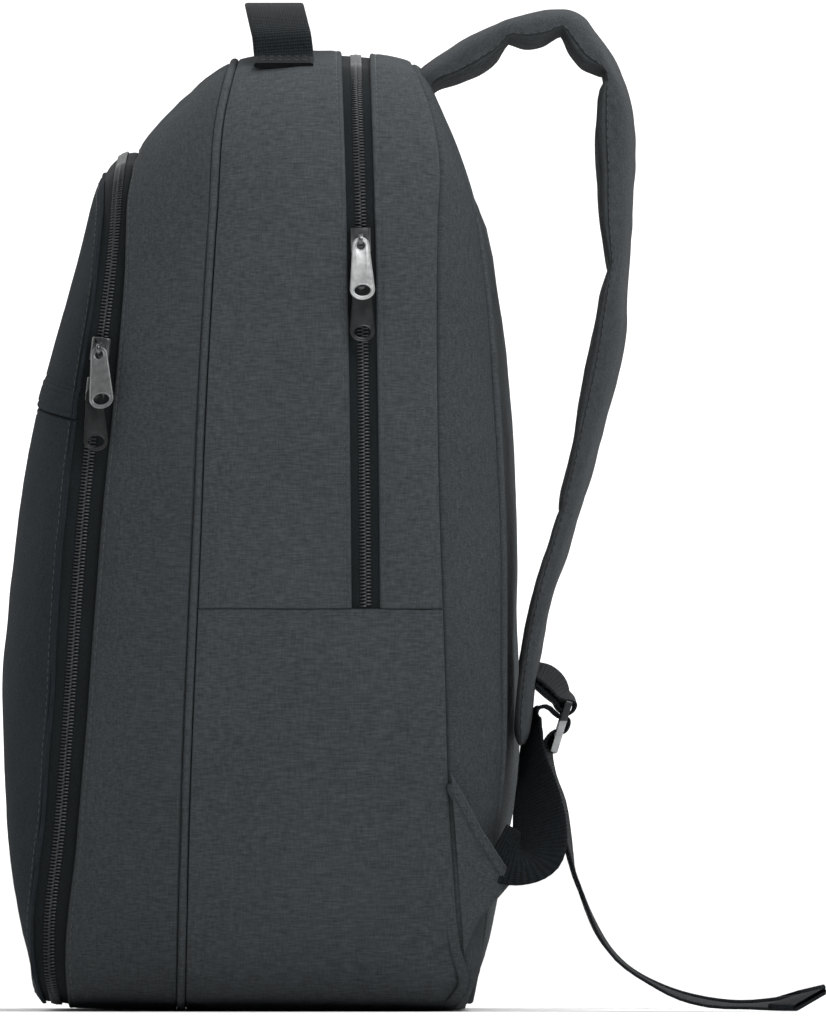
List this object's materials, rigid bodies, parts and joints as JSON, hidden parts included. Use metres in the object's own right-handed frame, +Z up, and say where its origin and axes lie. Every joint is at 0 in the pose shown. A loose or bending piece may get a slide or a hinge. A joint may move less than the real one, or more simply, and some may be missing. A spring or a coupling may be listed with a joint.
{
  "type": "cooler backpack",
  "caption": "Soft cooler backpack with a zipped main body, zipped front compartment, covered front pocket, padded shoulder straps, carry handle and adjusting webbing.",
  "frame": {"origin": "on the flat bottom, in the middle of the bag's width and half way along its depth", "axes": "+Z up, +X towards the near side with the sliders, +Y towards the wearer's back"},
  "size_m": [0.381, 0.365, 0.4421],
  "materials": {
    "body_cloth": "dark slate melange polyester with fine crosswise slubs",
    "front_cloth": "darker slate melange polyester",
    "strap_cloth": "slate melange polyester over foam",
    "webbing": "dark ribbed webbing",
    "zip_tape": "dark zip tape with a nylon coil",
    "buckle": "moulded, slightly worn",
    "slider_metal": "black nickel",
    "tab_metal": "grey nickel",
    "tab_dark_metal": "dark nickel"
  },
  "bodies": {
    "bag": {"back_panel": "body_cloth", "back_piping": "body_cloth", "back_gusset": "body_cloth", "rear_gusset": "body_cloth", "front_main_gusset": "body_cloth", "lower_body": "body_cloth", "front_gusset": "body_cloth", "front_piping": "body_cloth", "strap_wing_near": "body_cloth", "strap_wing_far": "body_cloth", "front_panel_top": "front_cloth", "pocket_flap": "front_cloth", "front_pocket": "front_cloth", "shoulder_strap_near": "strap_cloth", "shoulder_strap_far": "strap_cloth", "carry_handle": "webbing", "strap_end_near": "webbing", "strap_end_far": "webbing", "lower_webbing_near": "webbing", "lower_webbing_far": "webbing", "main_zip": "zip_tape", "front_zip": "zip_tape", "ladder_lock_near": "buckle", "ladder_lock_far": "buckle", "main_slider_upper": "slider_metal", "main_slider_lower": "slider_metal", "front_slider_upper": "slider_metal", "front_slider_lower": "slider_metal"},
    "main_upper_pull": {"main_tab_upper": "tab_metal"},
    "main_lower_pull": {"main_tab_lower": "tab_dark_metal"},
    "front_upper_pull": {"front_tab_upper": "tab_metal"},
    "front_lower_pull": {"front_tab_lower": "tab_dark_metal"}
  },
  "joints": [
    {"name": "main_upper_swing", "type": "hinge", "parent": "bag", "child": "main_upper_pull", "pos_m": [0.14784, 0.0441, 0.3355], "axis": [0.0167, -0.9995, -0.0275], "range_deg": [0, 130]},
    {"name": "main_lower_swing", "type": "hinge", "parent": "bag", "child": "main_lower_pull", "pos_m": [0.14783, 0.04444, 0.318], "axis": [0.0177, -0.9997, -0.0188], "range_deg": [0, 130]},
    {"name": "front_upper_swing", "type": "hinge", "parent": "bag", "child": "front_upper_pull", "pos_m": [0.12925, -0.06996, 0.28811], "axis": [-0.1971, -0.9755, -0.0977], "range_deg": [0, 130]},
    {"name": "front_lower_swing", "type": "hinge", "parent": "bag", "child": "front_lower_pull", "pos_m": [0.12926, -0.07199, 0.27059], "axis": [-0.1794, -0.9831, -0.0361], "range_deg": [0, 130]}
  ],
  "couplings": [
    {"joint": "main_lower_swing", "follows": "main_upper_swing", "ratio": 1},
    {"joint": "front_lower_swing", "follows": "front_upper_swing", "ratio": 1}
  ]
}
